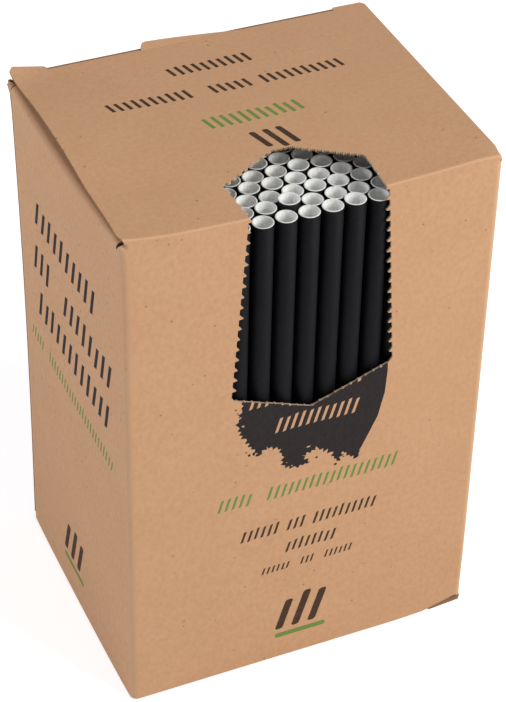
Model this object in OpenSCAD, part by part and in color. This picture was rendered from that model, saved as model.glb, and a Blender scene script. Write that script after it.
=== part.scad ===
// A folded kraft-board carton of paper drinking straws, with a tear-out window over its front top edge.
// Front faces -Y, top is +Z, the origin is the middle of the base. All sizes in millimetres.

/* [Straws] */
// Outside diameter of a straw
straw_d = 5.25; // [4:0.05:8]
// Wall of a straw, three wound plies
straw_wall = 0.4; // [0.25:0.05:0.8]
// Cut length of a straw
straw_len = 140; // [100:1:240]
// How far the cut length wanders from straw to straw
cut_tolerance = 0.35; // [0:0.05:0.6]
// Gap between two straws side by side in a row
side_gap = 0.6; // [0.2:0.05:0.8]
// Gap between a straw and its neighbours in the next row
nest_gap = 0.1; // [0.05:0.01:0.3]
// Straws in the fuller rows, the rows between hold one fewer
straws_in_row = 16; // [10:1:20]
// How far one straw near the window has ridden up
proud_lift = 1.5; // [0:0.1:2.5]

/* [Board and folds] */
// Thickness of the kraft board
board = 0.5; // [0.35:0.05:0.7]
// Outside radius of every fold
fold_r = 1.2; // [0.9:0.05:1.8]
// Clearance where one ply lies on another
ply_gap = 0.1; // [0.05:0.05:0.2]
// Free room between the straws and a side panel
side_room = 0.9; // [0.5:0.1:3]
// Free room between the straws and a tuck flap
end_room = 0.7; // [0.4:0.1:3]
// Height from the straws' tops to the top of the lid
head_room = 5.8; // [5:0.1:20]
// How far the side panels' top folds lie below the lid
side_drop = 2; // [1.4:0.1:2.4]
// Width of the glue flap inside the back panel
glue_w = 12; // [8:0.5:20]
// Gap left at the back corner beside the back panel's raw edge
seam_inset = 0.4; // [0.2:0.05:0.8]
// Length of a dust flap
dust_len = 27; // [15:0.5:28]
// Taper of a dust flap towards its free end
dust_taper = 4; // [1:0.5:8]

/* [Lids] */
// How far a lid's side edge stays in from the side panel
lid_inset = 1.3; // [1:0.1:2.5]
// Depth of a tuck flap
tuck_len = 12; // [8:0.5:15]
// Corner radius of a tuck flap
tuck_r = 7; // [3:0.5:7]
// Clearance between a tuck flap's fold and the panel it slips behind
tuck_gap = 0.15; // [0.1:0.05:0.4]
// Width of a slit-lock ear
ear_w = 9; // [6:0.5:12]
// How far an ear stands out past the fold
ear_out = 0.45; // [0.2:0.05:0.6]
// Slit between an ear and the tuck flap under it
slit = 0.3; // [0.2:0.05:0.5]
// Width of the finger tab
tab_w = 28; // [18:0.5:36]
// How far the finger tab stands out past the fold
tab_out = 2; // [1:0.1:3]

/* [Tear-out window] */
// Half width of the window at the fold
win_fold_half = 17.4; // [12:0.1:19]
// Half width of the window at its lower shoulders
win_low_half = 20.7; // [14:0.1:30]
// Depth of the lower shoulders below the fold
win_low = 53; // [30:0.5:80]
// Depth of the window's lowest point below the fold
win_tip = 60.8; // [40:0.5:95]
// Half width of the window at its shoulders in the lid
win_top_half = 17.6; // [12:0.1:19]
// Distance of the lid shoulders back from the fold
win_top = 13.6; // [8:0.1:18]
// Distance of the window's rearmost point back from the fold
win_peak = 23.3; // [18:0.1:35]
// Half width of the blunt end of the window in the lid
win_peak_half = 2.6; // [1:0.1:6]
// Pitch of the perforation down the front
cut_pitch = 3.1; // [2.5:0.1:5]
// Pitch of the perforation in the lid
lid_cut_pitch = 2.4; // [2:0.1:4]
// Depth of a cut beside the torn ties down the front
cut_depth = 0.8; // [0.4:0.05:1]
// Depth of a cut beside the torn ties in the lid
lid_cut_depth = 0.5; // [0.2:0.05:0.6]

/* [Hidden] */

ROWS = 16;
EPS = 1;
ARC_STEPS = 48;
FOLD_STEPS = 8;
STRAW_STEPS = 32;
JOIN_GAP = 0.05;

// The straws stand in nested rows, so a row's pitch follows from the two gaps.
straw_pitch = straw_d + side_gap;
row_pitch = sqrt(pow(straw_d + nest_gap, 2) - pow(straw_pitch / 2, 2));
pack_w = (straws_in_row - 1) * straw_pitch + straw_d;
pack_d = (ROWS - 1) * row_pitch + straw_d;

// A tuck flap leans in just enough for its tip to swing out past the panel with the same clearance.
tuck_straight = tuck_len - fold_r;
tuck_lean = atan(tuck_straight / (2 * pack_d));
tuck_room = tuck_gap + board / cos(tuck_lean) + tuck_straight * tan(tuck_lean) + end_room;

// The carton is sized round what it holds.
carton_w = pack_w + 2 * side_room + 2 * board;
carton_d = pack_d + 2 * tuck_room + 2 * board;
flap_floor = board + ply_gap;
bed_z = flap_floor + board + ply_gap;
carton_h = bed_z + straw_len + head_room;

inner_r = fold_r - board;
half_w = carton_w / 2;
half_d = carton_d / 2;
side_top = carton_h - side_drop;
sleeve_low = flap_floor + fold_r;
sleeve_high = side_top - fold_r;
panel_half = half_w - fold_r;

lid_half = half_w - lid_inset;
tuck_half = lid_half - fold_r - board;
tuck_y = half_d - board - tuck_gap;
ear_start = lid_half - ear_w;

// Points round a fold of radius r about c, from one angle to another.
function arc(c, r, from, to) =
    [for (i = [0 : FOLD_STEPS]) let (a = from + (to - from) * i / FOLD_STEPS) c + r * [cos(a), sin(a)]];

// Extrudes a Y-Z profile between two X positions.
module along_x(x0, x1) {
    translate([x0, 0, 0]) rotate([90, 0, 90]) linear_extrude(x1 - x0) children();
}

// Extrudes an X-Z profile between two Y positions.
module along_y(y0, y1) {
    translate([0, y1, 0]) rotate([90, 0, 0]) linear_extrude(y1 - y0) children();
}

module rounded_rect(w, d, r) {
    square([w - 2 * r, d], center = true);
    square([w, d - 2 * r], center = true);
    for (x = [-1, 1], y = [-1, 1])
        translate([x * (w / 2 - r), y * (d / 2 - r)]) circle(r, $fn = ARC_STEPS);
}

// Plan of the four panels. At the back left corner the left panel turns in one board early and laps
// inside the back panel, whose raw edge stays open to view.
module sleeve_plan() {
    lap = 1;
    corner = fold_r + board;
    bend = [-half_w + fold_r, half_d - corner];
    difference() {
        rounded_rect(carton_w, carton_d, fold_r);
        rounded_rect(carton_w - 2 * board, carton_d - 2 * board, inner_r);
        translate([-half_w - EPS, half_d - corner]) square([fold_r + EPS, corner + EPS]);
    }
    polygon(concat(
        [[-half_w + board, bend[1] - EPS], [-half_w, bend[1] - EPS]],
        arc(bend, fold_r, 180, 90),
        [[bend[0] + lap, bend[1] + fold_r], [bend[0] + lap, bend[1] + inner_r]],
        arc(bend, inner_r, 90, 180)
    ));
    translate([-half_w + seam_inset, half_d - board]) square([fold_r + EPS, board]);
}

// Points along a torn edge from p to q, walked with the window on the left. Each step of the perforation
// is a cut that lies outside the line, and a tie beside it that has torn to a point on the line.
function torn(p, q, pitch, depth, step_shape) =
    let (
        run = norm(q - p),
        dir = (q - p) / run,
        out = [dir[1], -dir[0]],
        count = max(1, floor(run / pitch)),
        step = run / count
    )
    [for (i = [0 : count - 1], k = step_shape) p + dir * step * (i + k[0]) + out * depth * k[1]];

// One step of the perforation, as [share of the pitch, share of the depth]. The ties point down the panel,
// so a step that is walked upwards or backwards has its tie at the other end.
TIE_LAST = [[0.02, 1], [0.58, 1], [0.92, 0]];
TIE_FIRST = [[0.08, 0], [0.42, 1], [0.98, 1]];

// Outline of the window in the front panel, in X and height. It runs off the top of the panel.
module front_window() {
    low_z = carton_h - win_low;
    polygon(concat(
        [[-win_fold_half, carton_h + EPS]],
        torn([-win_fold_half, carton_h], [-win_low_half, low_z], cut_pitch, cut_depth, TIE_LAST),
        [[-win_low_half, low_z], [0, carton_h - win_tip], [win_low_half, low_z]],
        torn([win_low_half, low_z], [win_fold_half, carton_h], cut_pitch, cut_depth, TIE_FIRST),
        [[win_fold_half, carton_h + EPS]]
    ));
}

// Outline of the window in the lid, in plan. It runs off the front fold.
module lid_window() {
    fold_y = -half_d;
    side_y = fold_y + win_top;
    peak_y = fold_y + win_peak;
    polygon(concat(
        [[-win_fold_half, fold_y - EPS], [win_fold_half, fold_y - EPS]],
        torn([win_fold_half, fold_y], [win_top_half, side_y], cut_pitch, lid_cut_depth, TIE_FIRST),
        torn([win_top_half, side_y], [win_peak_half, peak_y], lid_cut_pitch, lid_cut_depth, TIE_FIRST),
        [[win_peak_half, peak_y], [-win_peak_half, peak_y]],
        torn([-win_peak_half, peak_y], [-win_top_half, side_y], lid_cut_pitch, lid_cut_depth, TIE_LAST),
        torn([-win_top_half, side_y], [-win_fold_half, fold_y], cut_pitch, lid_cut_depth, TIE_LAST)
    ));
}

// Section of the left side panel's top fold with its dust flap, in X and height.
module side_fold_section() {
    bend = [-half_w + fold_r, sleeve_high];
    polygon(concat(
        [[-half_w + board, sleeve_high - EPS], [-half_w, sleeve_high - EPS]],
        arc(bend, fold_r, 180, 90),
        [[-half_w + dust_len, side_top], [-half_w + dust_len, side_top - board]],
        arc(bend, inner_r, 90, 180)
    ));
}

// Plan of the left dust flap. Its edge on the tuck side, towards +Y, leaves room for the tuck flap and
// slants away from it, the other edge stays clear of the panel and has a rounded corner.
module dust_flap_plan() {
    clear = 0.6;
    back_y = half_d - board - tuck_room + end_room / 2;
    front_y = -half_d + fold_r + clear;
    root_x = -half_w - EPS;
    free_x = -half_w + dust_len;
    polygon([
        [root_x, front_y], [free_x - dust_taper, front_y + dust_taper / 4], [free_x, front_y + dust_taper],
        [free_x, back_y - dust_taper], [-half_w + 2 * fold_r, back_y], [root_x, back_y]
    ]);
}

// One side panel's top fold and dust flap, on the left.
module top_dust_flap() {
    intersection() {
        along_y(-half_d, half_d) side_fold_section();
        translate([0, 0, sleeve_high - 2 * EPS]) linear_extrude(fold_r + 3 * EPS) dust_flap_plan();
    }
}

// The four dust flaps. The bottom pair is the top pair turned over about the X axis, higher by what the
// bottom lid takes up, so their tuck side faces the front, where the bottom lid is tucked in.
module dust_flaps() {
    for (side = [0, 1]) mirror([side, 0, 0]) {
        top_dust_flap();
        translate([0, 0, side_top + flap_floor]) rotate([180, 0, 0]) top_dust_flap();
    }
}

module panel_strip(y0, z0, z1) {
    translate([-panel_half, y0, z0]) cube([2 * panel_half, board, z1 - z0]);
}

// Relief in the front panel's bottom edge, where an ear of the bottom lid comes out under it.
module ear_relief() {
    clear = 0.3;
    x0 = ear_start - clear;
    for (side = [0, 1]) mirror([side, 0, 0])
        translate([x0, -half_d - EPS, -EPS]) cube([half_w, board + 2 * EPS, EPS + flap_floor]);
}

module glue_flap() {
    end = tuck_len + 3;
    mitre = glue_w / 2;
    x0 = -half_w + fold_r;
    x1 = -half_w + glue_w;
    along_y(half_d - 2 * board, half_d - board)
        polygon([[x0, end], [x1, end + mitre], [x1, carton_h - end - mitre], [x0, carton_h - end]]);
}

// The glued sleeve with its dust flaps: one folded sheet, less the two lids that fold off it.
module carton_body() {
    color("#cc9f79") difference() {
        union() {
            translate([0, 0, sleeve_low]) linear_extrude(sleeve_high - sleeve_low) sleeve_plan();
            panel_strip(-half_d, 0, sleeve_low);
            panel_strip(-half_d, sleeve_high, carton_h - fold_r - JOIN_GAP);
            panel_strip(half_d - board, fold_r + JOIN_GAP, sleeve_low);
            panel_strip(half_d - board, sleeve_high, carton_h - board - ply_gap);
            dust_flaps();
            glue_flap();
        }
        along_y(-half_d - EPS, -half_d + board + EPS) front_window();
        ear_relief();
    }
}

// Section of a lid, in Y and height: the hinge fold at the front, the panel, the tuck fold at the back,
// and the tuck flap, which leans in.
module lid_section() {
    hinge = [-half_d + fold_r, carton_h - fold_r];
    tuck = [tuck_y - fold_r, carton_h - fold_r];
    tip = tuck_straight * [-sin(tuck_lean), -cos(tuck_lean)];
    across = [cos(tuck_lean), -sin(tuck_lean)];
    polygon(concat(
        arc(hinge, fold_r, 180, 90),
        arc(tuck, fold_r, 90, -tuck_lean),
        [tuck + fold_r * across + tip, tuck + inner_r * across + tip],
        arc(tuck, inner_r, -tuck_lean, 90),
        arc(hinge, inner_r, 90, 180)
    ));
}

// Outline of a tuck flap seen from the front: its lower corners are round.
module tuck_outline() {
    low = carton_h - tuck_len - EPS;
    round_z = low + tuck_r + EPS;
    w = tuck_half - tuck_r;
    translate([-w, low]) square([2 * w, carton_h - low]);
    for (side = [-1, 1]) translate([side * w, round_z]) circle(tuck_r, $fn = ARC_STEPS);
    translate([-tuck_half, round_z]) square([2 * tuck_half, carton_h - fold_r - slit - round_z]);
}

// A segment of a circle: the half-moon of the finger tab. It is w wide at the X axis and rises towards +Y,
// and it runs on a little below the axis, into the panel it belongs to.
module half_moon(w, rise) {
    r = (w * w / 4 + rise * rise) / (2 * rise);
    intersection() {
        translate([0, rise - r]) circle(r, $fn = 2 * ARC_STEPS);
        translate([-w, -EPS]) square([2 * w, rise + 2 * EPS]);
    }
}

// A lid with its tuck flap, hinged at the front top. Slits free an ear at each end of the tuck fold.
module lid_blank() {
    root_y = tuck_y - fold_r;
    difference() {
        along_x(-lid_half, lid_half) lid_section();
        difference() {
            translate([-half_w, root_y, carton_h - tuck_len - EPS])
                cube([carton_w, half_d, tuck_len + 2 * EPS]);
            along_y(0, carton_d) tuck_outline();
            translate([-ear_start, 0, carton_h - fold_r - EPS])
                cube([2 * ear_start, carton_d, fold_r + 2 * EPS]);
        }
    }
    for (side = [0, 1]) mirror([side, 0, 0])
        translate([ear_start + slit, root_y - EPS, carton_h - board])
            cube([ear_w - slit, fold_r + EPS + ear_out, board]);
}

// The top lid carries the half-moon finger tab, cut out of its tuck flap, and its part of the window.
module top_lid() {
    rise = fold_r + tab_out;
    root_y = tuck_y - fold_r;
    color("#be9474") difference() {
        union() {
            difference() {
                lid_blank();
                along_y(root_y, half_d) translate([0, carton_h]) mirror([0, 1]) half_moon(tab_w, rise);
            }
            translate([0, root_y, carton_h - board]) linear_extrude(board)
                half_moon(tab_w - 2 * slit, rise);
        }
        translate([0, 0, carton_h - fold_r - EPS]) linear_extrude(fold_r + 2 * EPS) lid_window();
    }
}

module bottom_lid() {
    color("#be9474") translate([0, 0, carton_h]) rotate([180, 0, 0]) lid_blank();
}

// Straws stand on the bottom dust flaps, or on the bottom lid where no flap reaches under them.
function straw_count(row) = row % 2 == 1 ? straws_in_row - 1 : straws_in_row;
function straw_x(row, i) = (i - (straw_count(row) + 1) / 2) * straw_pitch;
function straw_y(row) = -half_d + board + tuck_room + straw_d / 2 + (row - 1) * row_pitch;
function on_flap(x) = abs(x) + straw_d / 2 > half_w - dust_len;
function trim(row, i) = cut_tolerance * sin(row * 97 + i * 151);
function is_proud(row, i) = row == 2 && i == straws_in_row / 2;

module straw(x, y, z, len) {
    translate([x, y, z]) difference() {
        cylinder(h = len, d = straw_d, $fn = STRAW_STEPS);
        translate([0, 0, -EPS])
            cylinder(h = len + 2 * EPS, d = straw_d - 2 * straw_wall, $fn = STRAW_STEPS);
    }
}

module straw_row(row) {
    color("#222025") for (i = [1 : straw_count(row)]) {
        x = straw_x(row, i);
        base = (on_flap(x) ? bed_z : flap_floor) + (is_proud(row, i) ? proud_lift : 0);
        straw(x, straw_y(row), base, straw_len + trim(row, i));
    }
}

carton_body();
top_lid();
bottom_lid();
straw_row(1);  // straw_row_01
straw_row(2);  // straw_row_02
straw_row(3);  // straw_row_03
straw_row(4);  // straw_row_04
straw_row(5);  // straw_row_05
straw_row(6);  // straw_row_06
straw_row(7);  // straw_row_07
straw_row(8);  // straw_row_08
straw_row(9);  // straw_row_09
straw_row(10);  // straw_row_10
straw_row(11);  // straw_row_11
straw_row(12);  // straw_row_12
straw_row(13);  // straw_row_13
straw_row(14);  // straw_row_14
straw_row(15);  // straw_row_15
straw_row(16);  // straw_row_16
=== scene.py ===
"""A tear-open kraft carton of black paper straws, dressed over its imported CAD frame."""

import math
import random

import bpy
from mathutils import Matrix, Vector
from mathutils.geometry import delaunay_2d_cdt


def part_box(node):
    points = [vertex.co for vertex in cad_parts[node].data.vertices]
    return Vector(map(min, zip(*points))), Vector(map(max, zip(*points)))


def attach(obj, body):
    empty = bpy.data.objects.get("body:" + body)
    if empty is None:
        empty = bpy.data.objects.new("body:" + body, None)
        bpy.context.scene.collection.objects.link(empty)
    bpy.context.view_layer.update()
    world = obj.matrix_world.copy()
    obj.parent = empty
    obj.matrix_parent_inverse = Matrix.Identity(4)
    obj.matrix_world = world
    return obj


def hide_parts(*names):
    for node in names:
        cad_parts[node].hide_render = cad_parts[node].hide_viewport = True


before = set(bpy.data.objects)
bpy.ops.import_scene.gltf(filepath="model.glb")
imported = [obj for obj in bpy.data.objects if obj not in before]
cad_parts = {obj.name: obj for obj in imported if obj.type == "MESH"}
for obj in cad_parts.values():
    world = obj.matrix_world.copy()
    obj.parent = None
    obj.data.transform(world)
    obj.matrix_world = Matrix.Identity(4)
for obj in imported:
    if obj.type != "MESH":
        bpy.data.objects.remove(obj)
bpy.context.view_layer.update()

# The sleeve is one sheet of unbleached kraft board, creased into four panels with a dust flap at each end
# of both sides, and glued at the back left corner. It is drawn flat, in millimetres, and then folded: u
# runs round the carton from the glue flap, and v runs up it.
MM = 0.001
BOARD = 0.5
CREASE = 1.2
CORNER = 1.8
FRONT_CREASE = 0.5
FRONT_FOOT = 0.5
CORNER_TURN = CORNER * math.pi / 2
CREASE_STEPS = 8
CREASE_MARGIN = 0.4
GRID = 5.0
SLACK_W = 0.3
SLACK_D = 0.18

HALF_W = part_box("carton_body")[1].x / MM - SLACK_W
HALF_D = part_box("carton_body")[1].y / MM - SLACK_D
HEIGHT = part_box("top_lid")[1].z / MM
SIDE_TOP = HEIGHT - 2.0
SIDE_HIGH = SIDE_TOP - CREASE
ROLL_MORE = 0.6
ROLL_SAG = 2.1
FOOT_CREASE = 0.4
FOOT_FLARE = 0.4
SIDE_FOOT = 0.1
SIDE_LOW = SIDE_FOOT + FOOT_CREASE
FLAP_LIFT = 0.5
BACK_TOP = HEIGHT - 0.6
HINGE_RISE = 1.2
HINGE_V = HEIGHT - HINGE_RISE

GLUE_W = 12.0
GLUE_END = 15.0
SEAM_INSET = 0.4


def walk_panels():
    """Each panel's start along the sheet, its starting corner in plan, its direction and its length."""
    lengths = {
        "glue": GLUE_W - CORNER,
        "left": 2 * HALF_D - BOARD - 2 * CORNER,
        "front": 2 * (HALF_W - CORNER),
        "right": 2 * (HALF_D - CORNER),
        "back": 2 * HALF_W - CORNER - SEAM_INSET,
    }
    start = 0.0
    corner = Vector((GLUE_W - HALF_W, HALF_D - BOARD))
    heading = Vector((-1, 0))
    panels = {}
    for name, length in lengths.items():
        panels[name] = (start, corner.copy(), heading.copy(), length)
        inward = Vector((-heading.y, heading.x))
        corner += heading * (length + CORNER) + inward * CORNER
        start += length + CORNER_TURN
        heading = inward
    return panels


PANELS = walk_panels()


def bend(run, radius, depth, most=math.pi / 2):
    """How far a crease takes a point inward and along, and the share of its turn that the point has made.

    The point lies run past the start of the crease, and depth under the outer face."""
    angle = min(max(run, 0) / radius, most)
    past = run - angle * radius
    inward = radius - (radius - depth) * math.cos(angle) + past * math.sin(angle)
    along = (radius - depth) * math.sin(angle) + past * math.cos(angle)
    return inward, along, angle / most


def hump(share):
    """A hump over a run: 0 at both its ends and 1 halfway. A crease's rub and painted highlight are
    strongest halfway round.
    """
    return math.sin(math.pi * share)


SOFT_SKEW = 1.3
SOFT_PEAK = 0.42
SOFT_END = 0.12
SAG_FROM = 0.75
FLARE_TOP = 40.0
# How much of a crease's pale rub and painted highlight the rolled side tops get.
ROLL_WEAR_AND_HIGHLIGHT = 0.3
TINY = 1e-6


def fold_side(name, along, length, v, depth):
    """A side panel's distance inward, its height, and its rub with painted highlight. Its top rolls over
    into the dust flap, most softly a little behind the middle. Its foot hangs down beside the bottom lid,
    on which its flap lies."""
    from_front = 1 - along / length if name == "left" else along / length
    soft = from_front * (SOFT_SKEW - from_front) / SOFT_PEAK * min(1, (1 - from_front) / SOFT_END)
    roll = CREASE + ROLL_MORE * max(soft, 0)
    near_top = min(max(v - SAG_FROM * SIDE_TOP, 0) / ((1 - SAG_FROM) * SIDE_TOP), 1)
    sag = ROLL_SAG * max(soft, 0) * near_top ** 2
    inward, z, share = depth, v - sag, 0.0
    if v > SIDE_TOP - roll:
        inward, rise, share = bend(v - SIDE_TOP + roll, roll, depth)
        z = SIDE_TOP - roll + rise - sag
    elif v < SIDE_LOW:
        inward, drop, share = bend(SIDE_LOW - v, FOOT_CREASE, depth)
        z = SIDE_LOW - drop + FLAP_LIFT * min(max(inward - FOOT_CREASE, 0), 1)
    if name == "left":
        inward -= FOOT_FLARE * hump(along / length) ** 0.5 * max(0, 1 - v / FLARE_TOP)
    return inward, z, share


def fold_sleeve(u, v, depth):
    """Where a point of the flat sleeve lies once it is folded, and how much rub and painted highlight it
    gets there.
    """
    name = [n for n in PANELS if u >= PANELS[n][0] - TINY][-1]
    start, corner, heading, length = PANELS[name]
    along = min(u - start, length)
    inward, z, share = depth, v, 0.0
    if name in ("left", "right"):
        inward, z, share = fold_side(name, along, length, v, depth)
    turned_in, ahead, turn_share = bend(u - start - along, CORNER, inward)
    side = Vector((-heading.y, heading.x))
    x, y = corner + heading * (along + ahead) + side * turned_in
    return Vector((x, y, z)), max(ROLL_WEAR_AND_HIGHLIGHT * hump(share), hump(turn_share))


# Each corner is left or right, front or back and foot or top, as 0 or 1, with how far it has been moved.
CORNER_MOVES = {
    (0, 0, 0): Vector((-0.5, 1.6, 0.0)),
    (1, 0, 0): Vector((-0.8, 1.1, 0.0)),
    (0, 1, 0): Vector((-0.25, 1.1, 0.4)),
    (1, 1, 0): Vector((0.0, 0.0, 0.0)),
    (0, 0, 1): Vector((-0.2, 1.3, 0.0)),
    (1, 0, 1): Vector((-0.2, 0.45, 0.0)),
    (0, 1, 1): Vector((-0.3, 0.3, -0.8)),
    (1, 1, 1): Vector((0.3, -1.2, -1.2)),
}

TOP_SAG = 1.8
WAIST = 0.7
# Each knock is a place, how far the board has been pushed there, and how far round it that is felt.
KNOCKS = (
    (Vector((-HALF_W, -HALF_D, HEIGHT)), Vector((-0.6, 0.6, 0.6)), 10.0),
    (Vector((HALF_W, -HALF_D, HEIGHT - 0.5)), Vector((-0.4, 0.1, -1.1)), 3.6),
    (Vector((HALF_W, -HALF_D, HEIGHT - 1.6)), Vector((0.35, 0.1, -0.7)), 3.0),
    (Vector((HALF_W, -HALF_D, 1.6)), Vector((0.9, 0.0, 0.0)), 1.4),
    (Vector((HALF_W, -HALF_D, 0)), Vector((0.0, 0.4, 0.7)), 20.0),
    (Vector((-HALF_W, HALF_D, SIDE_TOP)), Vector((-0.9, 0.3, 0.2)), 5.0),
)


def settle(p):
    """The carton has been handled, so it isn't quite square. The board follows its eight corners, sags
    where the window has weakened its front crease, is waisted at the back left, and has a few knocks."""
    shares = (p.x / HALF_W + 1) / 2, (p.y / HALF_D + 1) / 2, p.z / HEIGHT
    moved = Vector(p)
    for corner, move in CORNER_MOVES.items():
        weight = 1.0
        for share, end in zip(shares, corner):
            weight *= share if end else 1 - share
        moved += move * weight
    moved.z -= TOP_SAG * max(0, 1 - (p.x / HALF_W) ** 2) * (1 - shares[1]) * shares[2] ** 3
    moved.x += WAIST * (1 - shares[0]) * shares[1] * hump(min(max(shares[2], 0), 1))
    for place, push, reach in KNOCKS:
        moved += push * max(0, 1 - (p - place).length / reach) ** 1.3
    return moved


def crease_rows(start, length, steps=CREASE_STEPS):
    """The lines along which a sheet is cut into rows to bend round one crease."""
    turn = [start + length * i / steps for i in range(steps + 1)]
    return [start - CREASE_MARGIN] + turn + [start + length + CREASE_MARGIN]


def even_rows(start, end):
    """Lines about a grid apart between two lines."""
    count = max(1, round((end - start) / GRID))
    return [start + (end - start) * i / count for i in range(count + 1)]


HOLE = -1
WELD = 1e-4


def make_sheet(name, outline, patches, u_rows, v_rows, fold, finishes, torn_at):
    """A folded board piece from its flat outline. A patch is a slot number, or HOLE, and an outline of its
    own, and later patches cover earlier ones. The finishes are the outer face, the inner face, the cut
    edge, and then those of the patches, with the torn edge last. torn_at tells which rim is torn."""
    points, edges, faces = [], [], []
    for loop in [outline] + [loop for _, loop in patches]:
        faces.append(list(range(len(points), len(points) + len(loop))))
        points.extend(Vector(p) for p in loop)
    low_u, high_u = min(p[0] for p in outline), max(p[0] for p in outline)
    low_v, high_v = min(p[1] for p in outline), max(p[1] for p in outline)
    ends = [((u, low_v), (u, high_v)) for u in u_rows] + [((low_u, v), (high_u, v)) for v in v_rows]
    for pair in ends:
        edges.append((len(points), len(points) + 1))
        points.extend(Vector(p) for p in pair)
    flat, _, triangles, _, _, owners = delaunay_2d_cdt(points, edges, faces, 0, WELD, True)

    holes = {i + 1 for i, patch in enumerate(patches) if patch[0] == HOLE}
    kept = [(t, max(o)) for t, o in zip(triangles, owners) if 0 in o and not holes & set(o)]
    used = sorted({i for t, _ in kept for i in t})
    place = {i: n for n, i in enumerate(used)}
    outer, wear_and_highlight = zip(*[fold(flat[i].x, flat[i].y, 0) for i in used])
    inner = [fold(flat[i].x, flat[i].y, BOARD)[0] for i in used]
    count = len(used)
    faces, slots, open_edges = [], [], {}
    for triangle, owner in kept:
        a = [place[i] for i in triangle]
        faces.append(a)
        slots.append(patches[owner - 1][0] if owner else 0)
        faces.append([i + count for i in reversed(a)])
        slots.append(1)
        for edge in zip(a, a[1:] + a[:1]):
            if (edge[1], edge[0]) in open_edges:
                del open_edges[edge[1], edge[0]]
            else:
                open_edges[edge] = True
    for a, b in open_edges:
        faces.append([b, a, a + count, b + count])
        slots.append(len(finishes) - 1 if torn_at(*flat[used[a]]) else 2)
    mesh = bpy.data.meshes.new(name)
    mesh.from_pydata([settle(p) * MM for p in list(outer) + inner], [], faces)
    for finish in finishes:
        mesh.materials.append(finish)
    mesh.polygons.foreach_set("material_index", slots)
    mesh.polygons.foreach_set("use_smooth", [True] * len(faces))
    rim = {frozenset(e) for e in open_edges} | {frozenset((a + count, b + count)) for a, b in open_edges}
    for edge in mesh.edges:
        edge.use_edge_sharp = frozenset(edge.vertices) in rim
    # Each outer point carries how pale its crease is made: partly rubbed fibres, partly a painted
    # highlight.
    mesh.attributes.new("worn_and_highlit", "FLOAT", "POINT").data.foreach_set("value", list(wear_and_highlight) + [0.0] * count)
    mesh.validate()
    made = bpy.data.objects.new(name, mesh)
    bpy.context.scene.collection.objects.link(made)
    return made


def colour(r, g, b):
    """A colour as the photograph shows it, from 0 to 255, for a shader."""
    def linear(c):
        c /= 255
        return c / 12.92 if c <= 0.04045 else ((c + 0.055) / 1.055) ** 2.4
    return linear(r), linear(g), linear(b), 1.0


def node(tree, kind, inputs=None, **settings):
    """A shader node. Its inputs are numbers, colours or other nodes' outputs, by socket name or number."""
    made = tree.nodes.new("ShaderNode" + kind)
    for key, value in settings.items():
        setattr(made, key, value)
    for key, value in (inputs or {}).items():
        if isinstance(value, bpy.types.NodeSocket):
            tree.links.new(value, made.inputs[key])
        else:
            made.inputs[key].default_value = value
    return made


def mixed(tree, share, first, second):
    """The output of a colour mix."""
    return node(tree, "Mix", {0: share, 6: first, 7: second}, data_type="RGBA").outputs[2]


def ramp(tree, value, low, high, start=0.0, end=1.0):
    """A value taken from low..high to start..end, and held there."""
    inputs = {"Value": value, "From Min": low, "From Max": high, "To Min": start, "To Max": end}
    return node(tree, "MapRange", inputs).outputs["Result"]


def noise_at(tree, place, scale, detail=2.0, stretch=(1, 1, 1)):
    """Smooth noise from 0 to 1 with features about 1/scale metres across, longer along a small stretch."""
    vector = node(tree, "Mapping", {"Vector": place, "Scale": stretch}).outputs["Vector"]
    return node(tree, "TexNoise", {"Vector": vector, "Scale": scale, "Detail": detail}).outputs["Fac"]


BARK = colour(120, 78, 50)
BARK_CELLS = 360.0
BARK_SIZE = (0.06, 0.13)
BARK_RARITY = 0.78
# Creases are mixed towards this pale colour: partly rubbed fibres, partly a painted highlight where the
# fold turns to the light.
RUBBED_AND_HIGHLIT_BOARD = colour(222, 180, 143)


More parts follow.
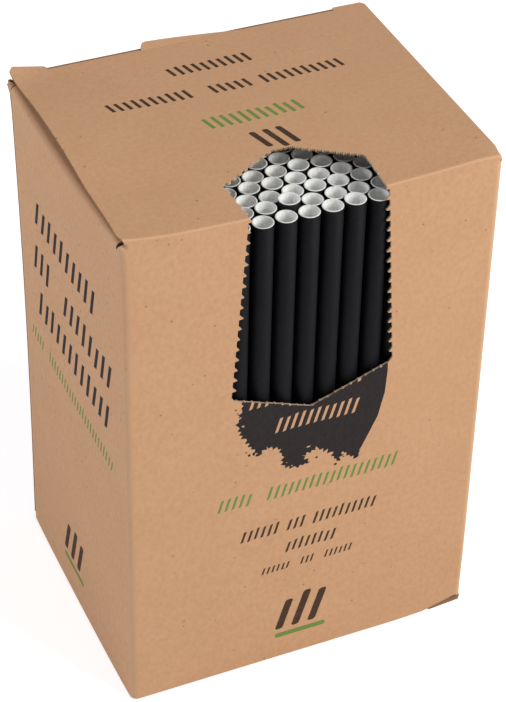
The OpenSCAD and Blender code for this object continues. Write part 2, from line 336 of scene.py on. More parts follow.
def kraft(name, base, pale, dark, ink=None, cover=0.0, dry=0.25):
    """Unbleached board: cloudy pulp, fine fibres, bark specks, creases paler with rub and painted
    highlight, and ink over it.

    The cover is the share of the board that the ink hides, and dry is how much of it the fibres refuse."""
    material = bpy.data.materials.new(name)
    material.use_nodes = True
    tree = material.node_tree
    shader = tree.nodes["Principled BSDF"]
    place = node(tree, "TexCoord").outputs["Object"]
    clouds = noise_at(tree, place, 70, 4.0)
    fibres = noise_at(tree, place, 900, 5.0, (1, 1, 0.8))
    grit = noise_at(tree, place, 3200, 2.0)
    look = mixed(tree, ramp(tree, clouds, 0.25, 0.75, 0.2, 0.8), base, pale)
    look = mixed(tree, ramp(tree, fibres, 0.35, 0.72, 0.0, 0.4), look, dark)
    look = mixed(tree, ramp(tree, grit, 0.55, 0.8, 0.0, 0.35), look, pale)
    cell = node(tree, "TexVoronoi", {"Vector": place, "Scale": BARK_CELLS, "Randomness": 1.0})
    chance = node(tree, "SeparateColor", {"Color": cell.outputs["Color"]}).outputs["Red"]
    near = ramp(tree, cell.outputs["Distance"], *BARK_SIZE, 1.0, 0.0)
    picked = node(tree, "Math", {0: chance, 1: BARK_RARITY}, operation="GREATER_THAN").outputs["Value"]
    speck = node(tree, "Math", {0: near, 1: picked}, operation="MULTIPLY").outputs["Value"]
    look = mixed(tree, ramp(tree, speck, 0.0, 1.0, 0.0, 0.6), look, BARK)
    # This paints creases paler: partly rubbed fibres, partly a painted highlight down the middle of each
    # fold.
    wear_and_highlight = node(tree, "Attribute", attribute_name="worn_and_highlit").outputs["Fac"]
    patchy = ramp(tree, fibres, 0.3, 0.6, 0.25, 0.65)
    rubbed_and_highlit = node(tree, "Math", {0: wear_and_highlight, 1: patchy}, operation="MULTIPLY").outputs["Value"]
    look = mixed(tree, rubbed_and_highlit, look, RUBBED_AND_HIGHLIT_BOARD)
    if ink:
        skips = ramp(tree, noise_at(tree, place, 2400, 3.0), 0.28, 0.42, (1 - dry) * cover, cover)
        look = mixed(tree, skips, look, ink)
    tree.links.new(look, shader.inputs["Base Color"])
    tree.links.new(ramp(tree, fibres, 0.3, 0.7, 0.72, 0.9), shader.inputs["Roughness"])
    shader.inputs["Specular IOR Level"].default_value = 0.25
    height = node(tree, "Math", {0: fibres, 1: clouds}, operation="ADD").outputs["Value"]
    bump = node(tree, "Bump", {"Height": height, "Strength": 0.07, "Distance": 0.0004})
    tree.links.new(bump.outputs["Normal"], shader.inputs["Normal"])
    return material


OUTER = (colour(204, 158, 120), colour(211, 166, 128), colour(188, 142, 104))
PLY = (colour(176, 141, 110), colour(186, 150, 118), colour(156, 120, 90))
# The cut edges get a dark brown: painted shade, since the board's thin edge is mostly seen in shadow.
CUT_EDGE_SHADED = (colour(146, 108, 80), colour(160, 122, 92), colour(118, 84, 60))
TORN = (colour(184, 154, 126), colour(212, 190, 164), colour(128, 92, 66))
FINISHES = [
    kraft("kraft_face", *OUTER),
    kraft("kraft_back", *PLY),
    kraft("kraft_cut_edge_painted_shade", *CUT_EDGE_SHADED),
    kraft("dark_ink", *OUTER, ink=colour(37, 34, 36), cover=0.99, dry=0.03),
    kraft("brown_black_ink", *OUTER, ink=colour(50, 34, 26), cover=0.95),
    kraft("green_ink", *OUTER, ink=colour(95, 138, 60), cover=0.9),
    kraft("kraft_torn_fibre", *TORN),
]
FACE, DARK, BROWN, GREEN, FIBRE = 0, 3, 4, 5, 6


def on_front(x, z):
    """A place on the front panel, on the flat sheet."""
    return PANELS["front"][0] + x + HALF_W - CORNER, z


def on_left(y, z):
    """A place on the left panel, y towards the front, on the flat sheet."""
    return PANELS["left"][0] + HALF_D - BOARD - CORNER + y, z


WINDOW_TOP_LEFT = -16.3
WINDOW_TOP_RIGHT = 17.3
WINDOW_LOW_LEFT = (-20.0, HEIGHT - 54.1)
WINDOW_LOW_RIGHT = (20.9, HEIGHT - 54.5)
WINDOW_TIP = (0.4, HEIGHT - 61.9)
CUT_PITCH = 3.1
CUT_DEPTH = 0.85
TIE_LAST = ((0.03, 1.0), (0.57, 1.0), (0.66, 0.72), (0.80, 0.40), (0.90, 0.0), (0.96, 0.1))
TIE_FIRST = tuple((1 - share, out) for share, out in reversed(TIE_LAST))
NICK = ((0.1, 0.0), (0.8, 0.0), (0.86, -1.0), (0.94, -0.8))
NICK_PITCH = 2.1
NICK_DEPTH = 0.22
TIE_WANDER = (-0.35, 0.15)
FIBRE_SIZE = (0.22, 0.42)
FIBRE_RAGGED = (0.7, 1.5)


def torn(start, end, pitch, depth, step, dice):
    """A torn perforation from start to end, walked with the board on the left, and a pale patch for the
    torn fibres of each tie. Each step has a cut that lies back in the board, and a tie torn to a point."""
    start, end = Vector(start), Vector(end)
    count = max(1, round((end - start).length / pitch))
    stride = (end - start) / count
    back = Vector((-stride.y, stride.x)).normalized() * depth
    line, fibres = [], []
    for i in range(count):
        reach = dice.uniform(*TIE_WANDER)
        for share, out in step:
            out += reach * (1 - out)
            line.append(start + stride * (i + share) + back * out)
        tip = min(step, key=lambda s: s[1])
        centre = start + stride * (i + tip[0]) + back * (tip[1] + reach)
        size = dice.uniform(*FIBRE_SIZE)
        ragged = []
        for k in range(8):
            spoke = Vector((math.cos(k * math.pi / 4), math.sin(k * math.pi / 4)))
            ragged.append(centre + spoke * size * dice.uniform(*FIBRE_RAGGED))
        fibres.append((FIBRE, ragged))
    return line, fibres


FLAP_LEN = 27.0
FLAP_TAPER = 4.0
FLAP_CLEAR = 0.6
FLAP_TUCK_GAP = 1.9
FLAP_BEVEL = 3.0
EAR_RELIEF = 36.0
EAR_RELIEF_RUN = 4.0
EAR_RELIEF_RISE = 2.0
BACK_SHOULDER = 3.5
KNIFE_GAP = 0.3
JUST_INSIDE = 0.05
FOOT_INSET = 0.4


def flap_edge(name, crease, sign, tuck_first):
    """Outline of one dust flap along a side panel, with the narrower shoulder beside the tuck flap."""
    start, length = PANELS[name][0], PANELS[name][3]
    reach = CREASE * math.pi / 2 + FLAP_LEN - CREASE
    end = length - FLAP_TUCK_GAP + CREASE
    run = [(FLAP_CLEAR, 0), (FLAP_TAPER, reach - FLAP_TAPER / 4), (FLAP_CLEAR + FLAP_TAPER, reach),
           (end - FLAP_TAPER, reach), (end, reach - FLAP_BEVEL), (end, 0)]
    if tuck_first:
        run = [(length - along, out) for along, out in reversed(run)]
    return [(start + along, crease + sign * out) for along, out in run]


def sleeve_outline(dice):
    """The flat sleeve, walked with the board on the left: along the bottom, and back along the top. With
    it come the patches of torn fibre along the window."""
    length = {name: panel[3] for name, panel in PANELS.items()}
    at = {name: panel[0] for name, panel in PANELS.items()}
    loop = [(0, GLUE_END + GLUE_W / 2), (length["glue"], GLUE_END)]
    loop += [(length["glue"], SIDE_LOW), (at["left"], SIDE_LOW)]
    loop += flap_edge("left", SIDE_LOW, -1, False)
    loop += [(at["left"] + length["left"], SIDE_LOW), (at["front"] - KNIFE_GAP, SIDE_LOW)]
    loop += [(at["front"] + KNIFE_GAP, FRONT_FOOT), on_front(EAR_RELIEF, FRONT_FOOT)]
    loop += [on_front(EAR_RELIEF + EAR_RELIEF_RUN, FRONT_FOOT + 0.4 * EAR_RELIEF_RISE)]
    loop += [(at["front"] + length["front"] - 0.2, FRONT_FOOT + EAR_RELIEF_RISE)]
    loop += [(at["front"] + length["front"], SIDE_LOW + EAR_RELIEF_RISE), (at["right"], SIDE_LOW)]
    loop += flap_edge("right", SIDE_LOW, -1, True)
    loop += [(at["right"] + length["right"], SIDE_LOW), (at["back"], SIDE_LOW)]
    loop += [(at["back"] + JUST_INSIDE, HINGE_RISE), (at["back"] + length["back"], HINGE_RISE)]

    loop += [(at["back"] + length["back"], SIDE_HIGH)]
    loop += [(at["back"] + length["back"] - BACK_SHOULDER, BACK_TOP), (at["back"] + JUST_INSIDE, BACK_TOP)]
    loop += [(at["back"], SIDE_HIGH), (at["right"] + length["right"], SIDE_HIGH)]
    loop += reversed(flap_edge("right", SIDE_HIGH, 1, False))
    loop += [(at["right"], SIDE_HIGH), (at["front"] + length["front"] + KNIFE_GAP, HINGE_V + 0.2)]
    loop += [(at["front"] + length["front"] - JUST_INSIDE, HINGE_V)]
    top_left, top_right = on_front(WINDOW_TOP_LEFT, HINGE_V), on_front(WINDOW_TOP_RIGHT, HINGE_V)
    low_left, low_right = on_front(*WINDOW_LOW_LEFT), on_front(*WINDOW_LOW_RIGHT)
    tip = on_front(*WINDOW_TIP)
    right_side, right_fibres = torn(top_right, low_right, CUT_PITCH, CUT_DEPTH, TIE_LAST, dice)
    foot_right = (low_right[0] - FOOT_INSET, low_right[1])
    foot_left = (low_left[0] + FOOT_INSET, low_left[1])
    right_foot, right_nicks = torn(foot_right, tip, NICK_PITCH, NICK_DEPTH, NICK, dice)
    left_foot, left_nicks = torn(tip, foot_left, NICK_PITCH, NICK_DEPTH, NICK, dice)
    left_side, left_fibres = torn(low_left, top_left, CUT_PITCH, CUT_DEPTH, TIE_FIRST, dice)
    loop += [top_right] + right_side + right_foot + left_foot + left_side + [top_left]

    # The front left corner keeps a small dark hole, and a bit of board stands up at the back left one.
    loop += [(at["front"] + JUST_INSIDE, HINGE_V), (at["front"] - 1.2, HINGE_V + 0.1)]
    loop += [(at["left"] + length["left"] + 0.5, SIDE_HIGH + 0.9)]
    loop += [(at["left"] + length["left"], SIDE_HIGH)]
    loop += reversed(flap_edge("left", SIDE_HIGH, 1, True))
    loop += [(at["left"] + 0.5, SIDE_HIGH), (at["left"] + 0.4, SIDE_TOP + 1.2)]
    loop += [(at["left"] - 0.6, SIDE_TOP + 0.9), (length["glue"] + 0.5, SIDE_TOP + 0.4)]
    loop += [(length["glue"], HEIGHT - GLUE_END), (0, HEIGHT - GLUE_END - GLUE_W / 2)]
    return loop, right_fibres + left_fibres + right_nicks + left_nicks


DASH_WIDE = 0.42
DASH_TALL = (0.86, 1.0)
DASH_WANDER = 0.04
DASH_FOOT_SLANT = 0.06
DASH_TOP_SLANT = 0.05


def dashes(start, end, base, height, pitch, place, slot, dice, lean=0.25, gaps=()):
    """A printed band of short slanted dashes, with whole dashes left out at the gaps."""
    patches = []
    thick = pitch * DASH_WIDE
    over = height * lean
    for i in range(round((end - start) / pitch)):
        left = start + i * pitch
        tall = height * dice.uniform(*DASH_TALL)
        low = base + dice.uniform(-DASH_WANDER, DASH_WANDER) * height
        corners = [(left, low), (left + thick, low + DASH_FOOT_SLANT * tall),
                   (left + thick + over, low + tall), (left + over, low + (1 - DASH_TOP_SLANT) * tall)]
        if i not in gaps:
            patches.append((slot, [place(*c) for c in corners]))
    return patches


MOST_ROUNDED = 0.45


def rounded(points, radius, steps=4):
    """A closed outline with each corner cut by a short curve of about that radius."""
    loop = []
    for i, point in enumerate(points):
        point = Vector(point)
        before, after = Vector(points[i - 1]), Vector(points[(i + 1) % len(points)])
        reach = min(radius, (before - point).length * MOST_ROUNDED, (after - point).length * MOST_ROUNDED)
        first = point + (before - point).normalized() * reach
        last = point + (after - point).normalized() * reach
        for k in range(steps + 1):
            t = k / steps
            loop.append(first * (1 - t) ** 2 + point * 2 * t * (1 - t) + last * t * t)
    return loop


def emblem(x, z, size, place, turned=1):
    """A plain sign for the contents: three drinking straws leaning side by side over a green line. With
    turned at -1 it stands on its head, as on the lid."""
    thick, gap = size * 0.19, size * 0.40
    patches = []
    for i, share in enumerate((0.86, 1.0, 0.92)):
        left, tall = x + (i - 1) * gap, size * share * turned
        over = size * share * 0.3
        bar = [(left, z), (left + thick, z), (left + thick + over, z + tall), (left + over, z + tall)]
        patches.append((BROWN, [place(*c) for c in rounded(bar[::turned], thick * 0.4)]))
    line_half, line_z = size * 0.62, z - size * 0.26 * turned
    line_top = line_z + thick * 0.7 * turned
    left, right = x - line_half + thick * 1.2, x + line_half + thick * 1.2
    line = [(left, line_z), (right, line_z), (right, line_top), (left, line_top)]
    patches.append((GREEN, [place(*c) for c in rounded(line[::turned], thick * 0.3)]))
    return patches


JAG_STEP = 0.7
JAG_OUT = (0.1, 0.9)
JAG_BACK = (-0.6, 0.1)
FLECKS = 30
FLECK_ASIDE = (-2.2, 2.2)
FLECK_RISE = (-2.0, 1.6)
FLECK_SIZE = (0.15, 0.42)
FLECK_WIDE = (0.6, 1.7)
FLECK_TALL = (0.6, 1.4)


def brush_field(dice):
    """The dark printed field under the window, smooth on its right, and ragged on its left and foot."""
    smooth = [(20.4, 96.0), (20.6, 90.0), (20.2, 83.0), (18.6, 75.8), (16.4, 70.9), (14.3, 66.4)]
    foot = [(14.3, 66.4), (13.4, 63.6), (9.8, 66.6), (8.4, 64.0), (6.2, 68.2), (2.2, 71.0), (-1.6, 69.6),
            (0.6, 66.5), (-4.1, 66.3), (-6.4, 67.8), (-7.4, 73.6), (-11.2, 75.8), (-13.2, 73.4),
            (-14.8, 75.6), (-17.4, 80.0), (-19.2, 84.6), (-18.0, 89.5), (-17.8, 96.0)]
    loop = [Vector(p) for p in smooth]
    for first, last in zip(foot, foot[1:]):
        run = Vector(last) - Vector(first)
        side = Vector((-run.y, run.x)).normalized()
        steps = max(2, round(run.length / JAG_STEP))
        for k in range(steps):
            jag = dice.uniform(*JAG_OUT) if k % 2 else dice.uniform(*JAG_BACK)
            loop.append(Vector(first) + run * (k / steps) + side * jag)
    patches = [(DARK, [on_front(*p) for p in reversed(loop)])]
    for i in range(FLECKS):
        x, z = dice.choice(foot[:-1])
        x, z = x + dice.uniform(*FLECK_ASIDE), z + dice.uniform(*FLECK_RISE)
        size = dice.uniform(*FLECK_SIZE)
        wide, tall = size * dice.uniform(*FLECK_WIDE), size * dice.uniform(*FLECK_TALL)
        fleck = [on_front(x + wide * math.cos(k * math.pi / 3), z + tall * math.sin(k * math.pi / 3))
                 for k in range(6)]
        patches.append(((DARK, FACE)[i % 2], fleck))
    patches += dashes(-9.2, 12.9, 79.2, 5.2, 2.05, on_front, FACE, dice)
    patches += dashes(-16.2, 14.8, 88.9, 4.8, 2.05, on_front, FACE, dice, gaps=(3, 6, 7, 8, 9, 10))
    return patches


DICE_SEED = 11
dice = random.Random(DICE_SEED)
outline, fibres = sleeve_outline(dice)
prints = brush_field(dice)
# Each band of dashes is given by its two ends, its foot, its height and its pitch.
prints += dashes(-24.3, 25.0, 57.6, 4.6, 1.9, on_front, GREEN, dice, gaps=(5, 6))
prints += dashes(-17.9, 19.6, 45.3, 4.0, 1.8, on_front, BROWN, dice, gaps=(6, 10))
prints += dashes(-5.5, 8.2, 37.9, 4.0, 1.8, on_front, BROWN, dice)
prints += dashes(-11.9, 14.3, 32.0, 2.6, 1.35, on_front, BROWN, dice, gaps=(6, 7, 11, 12))
prints += emblem(-3.1, 10.6, 11.6, on_front)
prints += dashes(-24.2, 21.5, 111.4, 9.0, 4.4, on_left, DARK, dice)
prints += dashes(-27.1, 29.3, 96.1, 9.0, 4.4, on_left, DARK, dice, gaps=(3, 4))
prints += dashes(-25.2, 27.4, 81.9, 9.0, 4.4, on_left, DARK, dice)
prints += dashes(-32.0, 29.2, 70.7, 4.2, 1.9, on_left, GREEN, dice, gaps=(5, 6))
prints += emblem(-6.4, 12.5, 12.0, on_left)
u_rows = []
for name, (start, _, _, length) in PANELS.items():
    u_rows += even_rows(start + CREASE_MARGIN, start + length - CREASE_MARGIN)
    if name != "back":
        u_rows += crease_rows(start + length, CORNER_TURN)
WIDEST_ROLL = CREASE + ROLL_MORE
FOOT_TURN = FOOT_CREASE * math.pi / 2
FOOT_STEPS = 5
v_rows = crease_rows(SIDE_LOW - FOOT_TURN, FOOT_TURN, FOOT_STEPS)
v_rows += [SIDE_LOW - FOOT_TURN - 1.0]
v_rows += even_rows(SIDE_LOW + 2, SIDE_TOP - WIDEST_ROLL - 2)
v_rows += crease_rows(SIDE_TOP - WIDEST_ROLL, WIDEST_ROLL * math.pi / 2, 2 * CREASE_STEPS)
v_rows += [HINGE_V - CREASE_MARGIN, HINGE_V - JUST_INSIDE]


ROUND_WINDOW = 1.5
UNDER_WINDOW = 1.0


def torn_on_front(u, v):
    """Whether a rim of the sleeve belongs to the window."""
    beside = abs(u - on_front(0, v)[0])
    return beside < WINDOW_LOW_RIGHT[0] + ROUND_WINDOW and v > WINDOW_TIP[1] - UNDER_WINDOW


sleeve = make_sheet("straw_carton_sleeve", outline, prints + fibres, u_rows, v_rows, fold_sleeve,
                    FINISHES, torn_on_front)
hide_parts("carton_body")
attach(sleeve, "carton")

# The top lid is the end of the same sheet. It hangs on the front panel's top crease, and its tuck flap
# locks behind the back panel by two slits that leave an ear at each end. A finger tab is cut out of its
# tuck crease, and the upper part of the tear-out window is torn out of it.
LID_HALF = HALF_W - 1.0
LEFT_HALF = HALF_W - 0.35
EAR_W = 9.0
EAR_OUT = 0.45
SLIT = 0.3
TUCK_Y = HALF_D - BOARD - 0.15
TUCK_HALF = LID_HALF - CREASE - BOARD
TUCK_LEN = 12.0
TUCK_ROUND = 7.0
TUCK_LEAN = math.radians(4.26)
TUCK_CREASE = TUCK_Y - CREASE
TUCK_TURN = CREASE * (math.pi / 2 + TUCK_LEAN)
EAR_START = LID_HALF - EAR_W
TAB_HALF = 14.0
TAB_RISE = 2.7
TAB_LIFT = 0.6
TAB_RUSH = 0.05
TAB_FADE = 2.2
DOME = 1.8
DOME_Y = 10.0
DOME_REACH = 24.0
EAR_CURL = 2.2
EAR_CURL_BEFORE = 3.0
EAR_CURL_RUN = 5.0
EAR_CORNER_W = 0.9
EAR_CORNER_H = 1.2
SLIT_START = 0.1
ON_TOP, UNDERNEATH = "on top", "underneath"


def tab_reach(x, grown=0.0):
    """How far the finger tab stands out past the crease: at once at its left end, then less and less."""
    share = (x + TAB_HALF + grown) / (2 * (TAB_HALF + grown))
    if not 0 < share < 1:
        return 0.0
    return (TAB_RISE + grown) * min(1, share / TAB_RUSH) ** 0.5 * (1 - share ** TAB_FADE)


def tab_slit(steps=22):
    """The knife cut round the finger tab, as a narrow closed outline."""
    loop = []
    for grown in (-SLIT / 2, SLIT / 2):
        half = TAB_HALF + grown
        edge = [2 * half * (i / steps) ** 1.6 - half for i in range(steps + 1)]
        edge = [(x, TUCK_CREASE + tab_reach(x, grown)) for x in edge]
        loop += edge if grown < 0 else reversed(edge)
    return loop


def lid_folder(crease, side):
    """Folds a flat lid whose hinge crease has that radius, and turns it over if it closes the bottom."""
    def fold(x, y, depth):
        share = 0.0
        front = crease - HALF_D
        at, z = y, HEIGHT - depth
        on_ear = abs(x) > EAR_START + SLIT / 2 and y < TUCK_CREASE + CREASE + EAR_OUT + SLIT_START
        on_tab = side == ON_TOP and y - TUCK_CREASE <= tab_reach(x)
        if y < front:
            inward, ahead, share = bend(front - y, crease, depth)
            at, z = front - ahead, HEIGHT - inward
        elif y > TUCK_CREASE and not on_ear and not on_tab:
            inward, ahead, share = bend(y - TUCK_CREASE, CREASE, depth, math.pi / 2 + TUCK_LEAN)
            at, z = TUCK_CREASE + ahead, HEIGHT - inward
        if side == UNDERNEATH:
            return Vector((x, -at, HEIGHT - z)), hump(share)
        z += DOME * (max(0, -x) / HALF_W) ** 2 * max(0, 1 - ((at - DOME_Y) / DOME_REACH) ** 2)
        outward = max(0, (-x - EAR_START) / EAR_W)
        z += EAR_CURL * outward * max(0, (at - TUCK_CREASE + EAR_CURL_BEFORE) / EAR_CURL_RUN)
        if on_tab and y > TUCK_CREASE:
            z += TAB_LIFT * max(0, 0.5 - x / TAB_HALF) * (y - TUCK_CREASE) / TAB_RISE
        return Vector((x, at, z)), hump(share)
    return fold


def tuck_outline(right_ear, left_ear, right_half, left_half):
    """The far end of a lid from its right edge to its left: ear, slit and tuck flap, slit and ear again.
    Given are how far each ear stands out past the crease, and how wide each half of the lid is."""
    shoulder = TUCK_CREASE + TUCK_TURN + SLIT
    tip = TUCK_CREASE + TUCK_TURN + TUCK_LEN - CREASE
    sides = []
    for ear_out, edge in ((right_ear, right_half), (left_ear, left_half)):
        ear_y = TUCK_CREASE + CREASE + ear_out
        half = [(edge, ear_y - EAR_CORNER_H), (edge - EAR_CORNER_W, ear_y - 0.1),
                (EAR_START + SLIT + 0.4, ear_y), (EAR_START + SLIT, ear_y - 0.5),
                (EAR_START + SLIT, TUCK_CREASE + SLIT_START), (EAR_START, TUCK_CREASE + SLIT_START),
                (EAR_START, shoulder), (TUCK_HALF, shoulder)]
        for i in range(CREASE_STEPS + 1):
            turn = math.pi / 2 * i / CREASE_STEPS
            x = TUCK_HALF - TUCK_ROUND * (1 - math.cos(turn))
            half.append((x, tip - TUCK_ROUND * (1 - math.sin(turn))))
        sides.append(half)
    return sides[0] + [(-x, y) for x, y in reversed(sides[1])]


def lid_window(hinge, dice):
    """The upper part of the tear-out window, from left to right, with its torn fibres."""
    left_corner, left_peak = (-17.1, -24.5), (-1.6, -15.2)
    right_peak, right_corner = (3.2, -15.2), (17.9, -25.4)
    left_foot, right_foot = (WINDOW_TOP_LEFT, hinge), (WINDOW_TOP_RIGHT, hinge)
    stepped = ((0.05, 0.6), (0.45, 0.6), (0.5, 0.0), (0.95, 0.0))
    fibrous = ((0.1, 0.3), (0.25, -0.5), (0.4, 0.5), (0.55, -0.2), (0.7, 0.6), (0.85, -0.6))
    left, left_fibres = torn(left_foot, left_corner, CUT_PITCH, 0.5, TIE_FIRST, dice)
    up, up_fibres = torn(left_corner, left_peak, 2.4, 0.8, stepped, dice)
    peak, peak_fibres = torn(left_peak, right_peak, 1.3, 0.4, fibrous, dice)
    down, down_fibres = torn(right_peak, right_corner, 1.6, 0.55, fibrous, dice)
    right, right_fibres = torn(right_corner, right_foot, 1.6, 0.25, fibrous, dice)
    line = [left_foot] + left + up + peak + down + right + [right_foot]
    return line, left_fibres + up_fibres[::3] + peak_fibres + down_fibres + right_fibres


def on_lid(x, y):
    """A place on the top lid, which lies flat as it is."""
    return x, y


def torn_on_lid(x, y):
    """Whether a rim of the top lid belongs to the window."""
    return abs(x) < WINDOW_LOW_RIGHT[0] and y < 0


def lid_rows(crease, hinge):
    """The lines along which a lid is cut to bend and bow."""
    front = crease - HALF_D
    x_rows = even_rows(-LID_HALF + 0.5, LID_HALF - 0.5)
    y_rows = [hinge + JUST_INSIDE]
    y_rows += [hinge + (front - hinge) * i / CREASE_STEPS for i in range(1, CREASE_STEPS + 1)]
    y_rows += [front + CREASE_MARGIN] + even_rows(front + 3, TUCK_CREASE - 2)
    y_rows += crease_rows(TUCK_CREASE, TUCK_TURN)
    y_rows += [TUCK_CREASE + TUCK_TURN + 4, TUCK_CREASE + TUCK_TURN + 8]
    return x_rows, y_rows


front = FRONT_CREASE - HALF_D
hinge_y = front - FRONT_CREASE * math.pi / 2 - HINGE_RISE + FRONT_CREASE
window, fibres = lid_window(hinge_y, dice)
prints = dashes(-10.7, 10.7, 22.8, 4.2, 2.2, on_lid, BROWN, dice, lean=-0.25)
prints += dashes(-30.4, 31.2, 12.1, 4.2, 2.2, on_lid, BROWN, dice, lean=-0.25, gaps=(10, 11, 17))
prints += dashes(-10.7, 13.7, -2.0, 5.2, 2.3, on_lid, GREEN, dice, lean=-0.25)
prints += emblem(-0.4, -6.4, 8.4, on_lid, turned=-1)[:3]
outline = [(-LID_HALF - 0.2, front + 0.2), (0.2 - LID_HALF, hinge_y + 0.6), (0.3 - LID_HALF, hinge_y)]
outline += window
outline += [(LID_HALF + 0.6, hinge_y), (LID_HALF + 0.5, front - 0.3), (LID_HALF + 0.2, front + 1.0)]
outline += tuck_outline(EAR_OUT, EAR_OUT, LID_HALF, LEFT_HALF) + [(-LEFT_HALF, front + 1.6)]
x_rows, y_rows = lid_rows(FRONT_CREASE, hinge_y)
lid = make_sheet("top_lid_sheet", outline, prints + fibres + [(HOLE, tab_slit())], x_rows, y_rows,
                 lid_folder(FRONT_CREASE, ON_TOP), FINISHES, torn_on_lid)
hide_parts("top_lid")
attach(lid, "top_flap")

# The bottom lid is the other end of the sheet. It hangs on the back panel's foot and lies on the floor
# under the dust flaps. Its tuck flap goes up behind the front panel, which is cut away over its right ear.
HIDDEN_EAR = -0.6
EAR_SHOWS = 0.4
hinge_y = CREASE - HALF_D - CREASE * math.pi / 2
outline = [(-LID_HALF, hinge_y), (LID_HALF, hinge_y)]
outline += tuck_outline(EAR_OUT, HIDDEN_EAR, HALF_W + EAR_SHOWS, LID_HALF)
x_rows, y_rows = lid_rows(CREASE, hinge_y)


def torn_nowhere(x, y):
    """No rim of the bottom lid is torn."""
    return False


base = make_sheet("bottom_lid_sheet", outline, [], x_rows, y_rows, lid_folder(CREASE, UNDERNEATH),
                  FINISHES, torn_nowhere)
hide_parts("bottom_lid")
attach(base, "bottom_flap")

# The straws are wound from strips of paper glued in a spiral, with a black outer ply over white ones, and
# cut to length. They stand loose in nested rows, and those by the window lean towards it at the top.
STRAW_D = 5.25
STRAW_WALL = 0.4
STRAW_SIDES = 32
STRAW_LEN = 140.0
STRAW_PITCH = 5.85
STRAW_ROWS = 16
WINDING = 19.0
BED = 1.2
BED_BETWEEN_FLAPS = 0.9
CUT_WANDER = 0.35
RIDDEN_UP = 1.2
RIDDEN_UP_ROW = 2
RIDDEN_UP_PLACE = 7
LEAN_FORWARD = 1.5
LEAN_LEFT = 1.3
LEAN_FADES_OVER = 9
LEFT_LEAN_GROWS_OVER = 7
TIP_WANDER = 0.12
RIM = 0.1
SEAM_INK = colour(14, 14, 16)


def straw_paper(name, base, pale, seam_share, gloss):
    """Paper wound in a spiral: the seam of its ply, as dark as its share says, and soft fibres."""
    material = bpy.data.materials.new(name)
    material.use_nodes = True
    tree = material.node_tree
    shader = tree.nodes["Principled BSDF"]
    place = node(tree, "TexCoord").outputs["Object"]
    wrap = node(tree, "UVMap", uv_map="Wrap").outputs["UV"]
    wrap = node(tree, "SeparateXYZ", {"Vector": wrap})
    turn = node(tree, "Math", {0: wrap.outputs["Y"], 1: wrap.outputs["X"]}, operation="SUBTRACT")
    phase = node(tree, "Math", {0: turn.outputs["Value"]}, operation="FRACT").outputs["Value"]
    seam = ramp(tree, phase, 0.0, 0.03, 1.0, 0.0)
    fibres = noise_at(tree, place, 1400, 3.0, (1, 1, 0.5))
    look = mixed(tree, ramp(tree, fibres, 0.35, 0.7), base, pale)
    look = mixed(tree, ramp(tree, seam, 0.0, 1.0, 0.0, seam_share), look, SEAM_INK)
    tree.links.new(look, shader.inputs["Base Color"])
    tree.links.new(ramp(tree, fibres, 0.3, 0.7, 0.52, 0.64), shader.inputs["Roughness"])
    shader.inputs["Specular IOR Level"].default_value = gloss
    height = node(tree, "Math", {0: fibres, 1: seam}, operation="SUBTRACT").outputs["Value"]
    bump = node(tree, "Bump", {"Height": height, "Strength": seam_share, "Distance": 0.0001})
    tree.links.new(bump.outputs["Normal"], shader.inputs["Normal"])
    return material


straw_black = straw_paper("straw_black_ply", colour(13, 12, 16), colour(21, 20, 26), 0.35, 0.18)
straw_white = straw_paper("straw_white_ply", colour(228, 229, 226), colour(244, 245, 243), 0.04, 0.1)


def straw_shape(foot, tip, start_angle):
    """Points, faces, slots and wrap places of one straw between the middles of its two ends."""
    outer, inner = STRAW_D / 2, STRAW_D / 2 - STRAW_WALL
    length = (tip - foot).length
    rings = [(outer, 0), (outer, length - RIM), (outer - RIM, length), (inner + RIM, length),
             (inner, length - RIM), (inner, 0)]
    points, faces, slots, wraps = [], [], [], []
    for radius, height in rings:
        centre = foot.lerp(tip, height / length)
        for k in range(STRAW_SIDES):
            turn = 2 * math.pi * k / STRAW_SIDES + start_angle
            points.append(centre + Vector((radius * math.cos(turn), radius * math.sin(turn), 0)))
    for ring in range(len(rings)):
        after = (ring + 1) % len(rings)
        low, high = rings[ring][1] / WINDING, rings[after][1] / WINDING
        for k in range(STRAW_SIDES):
            j = (k + 1) % STRAW_SIDES
            faces.append([ring * STRAW_SIDES + k, ring * STRAW_SIDES + j, after * STRAW_SIDES + j,
                          after * STRAW_SIDES + k])
            slots.append(0 if ring == 0 else 1)
            share, next_share = k / STRAW_SIDES, (k + 1) / STRAW_SIDES
            wraps += [(share, low), (next_share, low), (next_share, high), (share, high)]
    return points, faces, slots, wraps


def straw_ends(number, x, y, dice):
    """The middles of a straw's foot and tip. The tips lean, and none of them pushes into a side panel."""
    foot = Vector((x, y, BED if abs(x) > HALF_W - FLAP_LEN else BED_BETWEEN_FLAPS))
    height = foot.z + STRAW_LEN + dice.uniform(-CUT_WANDER, CUT_WANDER)
    near_window = min(1, (STRAW_ROWS - number) / LEAN_FADES_OVER)
    behind_front = min(1, (number + 1) / LEFT_LEAN_GROWS_OVER)
    left = LEAN_LEFT * near_window * behind_front * (1 - (x / HALF_W) ** 4)
    tip = Vector((x - left + dice.uniform(-TIP_WANDER, TIP_WANDER),
                  y - LEAN_FORWARD * near_window + dice.uniform(-TIP_WANDER, TIP_WANDER), height))
    foot, tip = settle(foot), settle(tip)
    tip.z = height
    return foot, tip


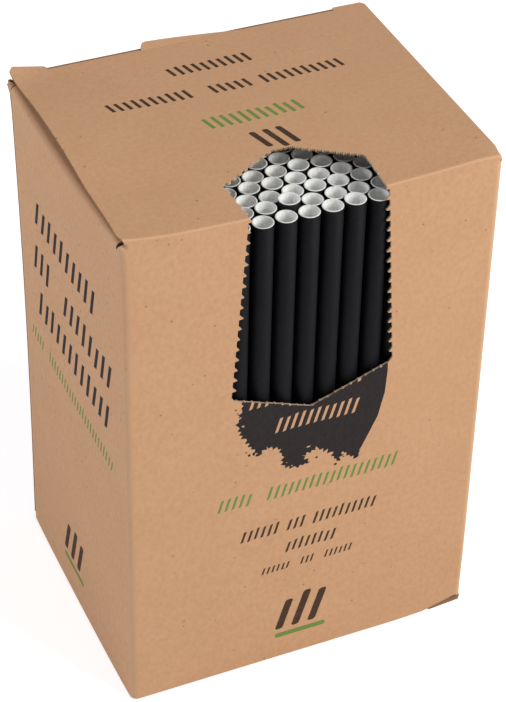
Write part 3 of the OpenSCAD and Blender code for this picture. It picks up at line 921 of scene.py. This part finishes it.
def make_straws(number, dice):
    """One row of straws as separate tubes in one piece, standing where the CAD row stands."""
    name = f"straw_row_{number:02d}"
    low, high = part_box(name)
    first = low.x / MM + STRAW_D / 2
    y = (low.y + high.y) / 2 / MM
    points, faces, slots, wraps = [], [], [], []
    for i in range(round(((high.x - low.x) / MM - STRAW_D) / STRAW_PITCH) + 1):
        x = first + i * STRAW_PITCH
        foot, tip = straw_ends(number, x, y, dice)
        if number == RIDDEN_UP_ROW and i == RIDDEN_UP_PLACE:
            foot.z += RIDDEN_UP
            tip.z += RIDDEN_UP
        made = straw_shape(foot, tip, dice.uniform(0, 2 * math.pi))
        faces += [[v + len(points) for v in face] for face in made[1]]
        points += made[0]
        slots += made[2]
        wraps += made[3]
    mesh = bpy.data.meshes.new(name + "_paper")
    mesh.from_pydata([p * MM for p in points], [], faces)
    mesh.materials.append(straw_black)
    mesh.materials.append(straw_white)
    mesh.polygons.foreach_set("material_index", slots)
    mesh.polygons.foreach_set("use_smooth", [True] * len(faces))
    mesh.uv_layers.new(name="Wrap").data.foreach_set("uv", [c for wrap in wraps for c in wrap])
    made = bpy.data.objects.new(name + "_paper", mesh)
    bpy.context.scene.collection.objects.link(made)
    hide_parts(name)
    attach(made, "carton")


for number in range(1, STRAW_ROWS + 1):
    make_straws(number, dice)

# The floor is a wide sheet of white studio paper. It glows a little to the camera, so that it comes out
# white there, and still takes the carton's soft shadow.
FLOOR_HALF = 3.0
FLOOR_WHITE = 0.8
FLOOR_GLOW = 0.58
mesh = bpy.data.meshes.new("floor")
corners = [(-FLOOR_HALF, -FLOOR_HALF, 0), (FLOOR_HALF, -FLOOR_HALF, 0), (FLOOR_HALF, FLOOR_HALF, 0),
           (-FLOOR_HALF, FLOOR_HALF, 0)]
mesh.from_pydata(corners, [], [(0, 1, 2, 3)])
floor = bpy.data.objects.new("floor", mesh)
bpy.context.scene.collection.objects.link(floor)
material = bpy.data.materials.new("white_floor")
material.use_nodes = True
tree = material.node_tree
tree.nodes.clear()
seen = node(tree, "LightPath").outputs["Is Camera Ray"]
paper = node(tree, "BsdfDiffuse", {"Color": (FLOOR_WHITE, FLOOR_WHITE, FLOOR_WHITE, 1)})
glow = node(tree, "Emission", {"Color": (1, 1, 1, 1), "Strength": FLOOR_GLOW})
lit = node(tree, "AddShader", {0: paper.outputs[0], 1: glow.outputs[0]})
mix = node(tree, "MixShader", {0: seen, 1: paper.outputs[0], 2: lit.outputs[0]})
node(tree, "OutputMaterial", {"Surface": mix.outputs[0]})
mesh.materials.append(material)

# The light is soft daylight from all round, a broad warm lamp on the front right and a weaker cool one on
# the left. The sky is white to the camera.
SKY_LIGHT = 0.33
LAMP_AIM = Vector((0, 0, 0.08))
world = bpy.data.worlds.new("studio")
bpy.context.scene.world = world
world.use_nodes = True
tree = world.node_tree
sky = tree.nodes["Background"]
ray = node(tree, "LightPath").outputs["Is Camera Ray"]
sky.inputs["Color"].default_value = (1, 1, 1, 1)
tree.links.new(ramp(tree, ray, 0.0, 1.0, SKY_LIGHT, 1.0), sky.inputs["Strength"])


def lamp(name, place, size, power, tint):
    """A square soft lamp that faces about the middle of the carton."""
    light = bpy.data.lights.new(name, "AREA")
    light.shape = "SQUARE"
    light.size = size
    light.energy = power
    light.color = tint
    made = bpy.data.objects.new(name, light)
    made.location = place
    made.rotation_euler = (LAMP_AIM - Vector(place)).to_track_quat("-Z", "Y").to_euler()
    bpy.context.scene.collection.objects.link(made)


lamp("lamp_front_right", (0.56, -0.71, 0.64), 0.5, 8.3, (1.0, 0.985, 0.96))
lamp("lamp_left", (-0.78, 0.3, 0.45), 0.6, 3.9, (0.89, 0.91, 1.0))

# The camera stands to the left of the front and looks down on the carton, as in the photograph. Its lens
# is a long one, and it is tipped a little about its own line of sight.
AIM = Vector((0.95, -0.27, 73.7))
DISTANCE = 620.6
AZIMUTH = math.radians(24.12)
ELEVATION = math.radians(38.97)
ROLL = math.radians(0.85)
camera = bpy.data.cameras.new("camera")
camera.lens = 124.14
camera.sensor_width = 36
camera.clip_start = 0.01
eye = bpy.data.objects.new("camera", camera)
turn = Matrix.Rotation(-AZIMUTH, 4, "Z") @ Matrix.Rotation(math.pi / 2 - ELEVATION, 4, "X")
back_off = Matrix.Rotation(ROLL, 4, "Z") @ Matrix.Translation((0, 0, DISTANCE * MM))
eye.matrix_world = Matrix.Translation(AIM * MM) @ turn @ back_off
bpy.context.scene.collection.objects.link(eye)
bpy.context.scene.camera = eye

# The colours are shown as the shaders give them.
bpy.context.scene.view_settings.view_transform = "Standard"
